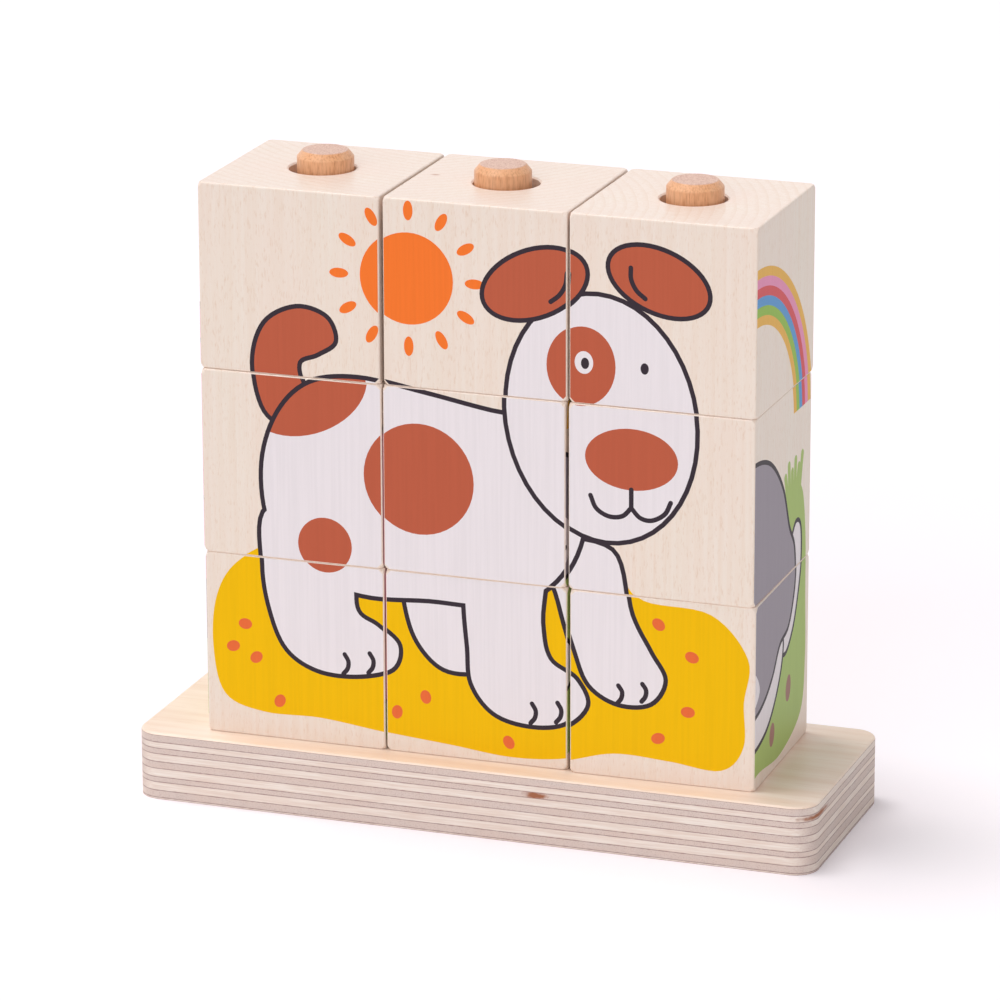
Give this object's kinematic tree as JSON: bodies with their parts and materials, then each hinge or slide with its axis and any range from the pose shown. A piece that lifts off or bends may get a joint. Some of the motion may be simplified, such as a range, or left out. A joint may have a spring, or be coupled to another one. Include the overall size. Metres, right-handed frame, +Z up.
{
  "type": "stacking picture cube puzzle",
  "caption": "Drilled wooden picture cubes that stack in columns on dowel pegs in a plywood stand, and lift off to be turned and swapped.",
  "frame": {"origin": "centre of the stand's underside, on the surface that the stand rests on", "axes": "+X along the row of pegs, from the left column to the right as seen from the front; +Y from the front to the back; +Z up, along the pegs"},
  "size_m": [0.188, 0.0644, 0.1735],
  "materials": {
    "cube_wood": "clear semi-gloss lacquer over pale close-grained hardwood",
    "peg_wood": "unfinished beech dowel",
    "face_veneer": "sanded veneer, clear lacquer",
    "cross_ply": "sanded plywood edge, end grain at the front",
    "long_ply": "sanded plywood edge, long grain at the front"
  },
  "bodies": {
    "stand": {"stand_bottom_veneer": "face_veneer", "stand_core_ply_1": "cross_ply", "stand_core_ply_2": "long_ply", "stand_core_ply_3": "cross_ply", "stand_core_ply_4": "long_ply", "stand_core_ply_5": "cross_ply", "stand_core_ply_6": "long_ply", "stand_core_ply_7": "cross_ply", "stand_core_ply_8": "long_ply", "stand_core_ply_9": "cross_ply", "stand_top_veneer": "face_veneer", "peg_left": "peg_wood", "peg_middle": "peg_wood", "peg_right": "peg_wood"},
    "cube_bottom_left": {"cube_bottom_left": "cube_wood"},
    "cube_middle_left": {"cube_middle_left": "cube_wood"},
    "cube_top_left": {"cube_top_left": "cube_wood"},
    "cube_bottom_middle": {"cube_bottom_middle": "cube_wood"},
    "cube_middle_middle": {"cube_middle_middle": "cube_wood"},
    "cube_top_middle": {"cube_top_middle": "cube_wood"},
    "cube_bottom_right": {"cube_bottom_right": "cube_wood"},
    "cube_middle_right": {"cube_middle_right": "cube_wood"},
    "cube_top_right": {"cube_top_right": "cube_wood"}
  },
  "joints": [
    {"name": "lift_bottom_left", "type": "slide", "parent": "stand", "child": "cube_bottom_left", "axis": [0, 0, 1], "range_m": [0, 0.16]},
    {"name": "lift_middle_left", "type": "slide", "parent": "cube_bottom_left", "child": "cube_middle_left", "axis": [0, 0, 1], "range_m": [0, 0.11]},
    {"name": "lift_top_left", "type": "slide", "parent": "cube_middle_left", "child": "cube_top_left", "axis": [0, 0, 1], "range_m": [0, 0.06]},
    {"name": "lift_bottom_middle", "type": "slide", "parent": "stand", "child": "cube_bottom_middle", "axis": [0, 0, 1], "range_m": [0, 0.16]},
    {"name": "lift_middle_middle", "type": "slide", "parent": "cube_bottom_middle", "child": "cube_middle_middle", "axis": [0, 0, 1], "range_m": [0, 0.11]},
    {"name": "lift_top_middle", "type": "slide", "parent": "cube_middle_middle", "child": "cube_top_middle", "axis": [0, 0, 1], "range_m": [0, 0.06]},
    {"name": "lift_bottom_right", "type": "slide", "parent": "stand", "child": "cube_bottom_right", "axis": [0, 0, 1], "range_m": [0, 0.16]},
    {"name": "lift_middle_right", "type": "slide", "parent": "cube_bottom_right", "child": "cube_middle_right", "axis": [0, 0, 1], "range_m": [0, 0.11]},
    {"name": "lift_top_right", "type": "slide", "parent": "cube_middle_right", "child": "cube_top_right", "axis": [0, 0, 1], "range_m": [0, 0.06]}
  ]
}
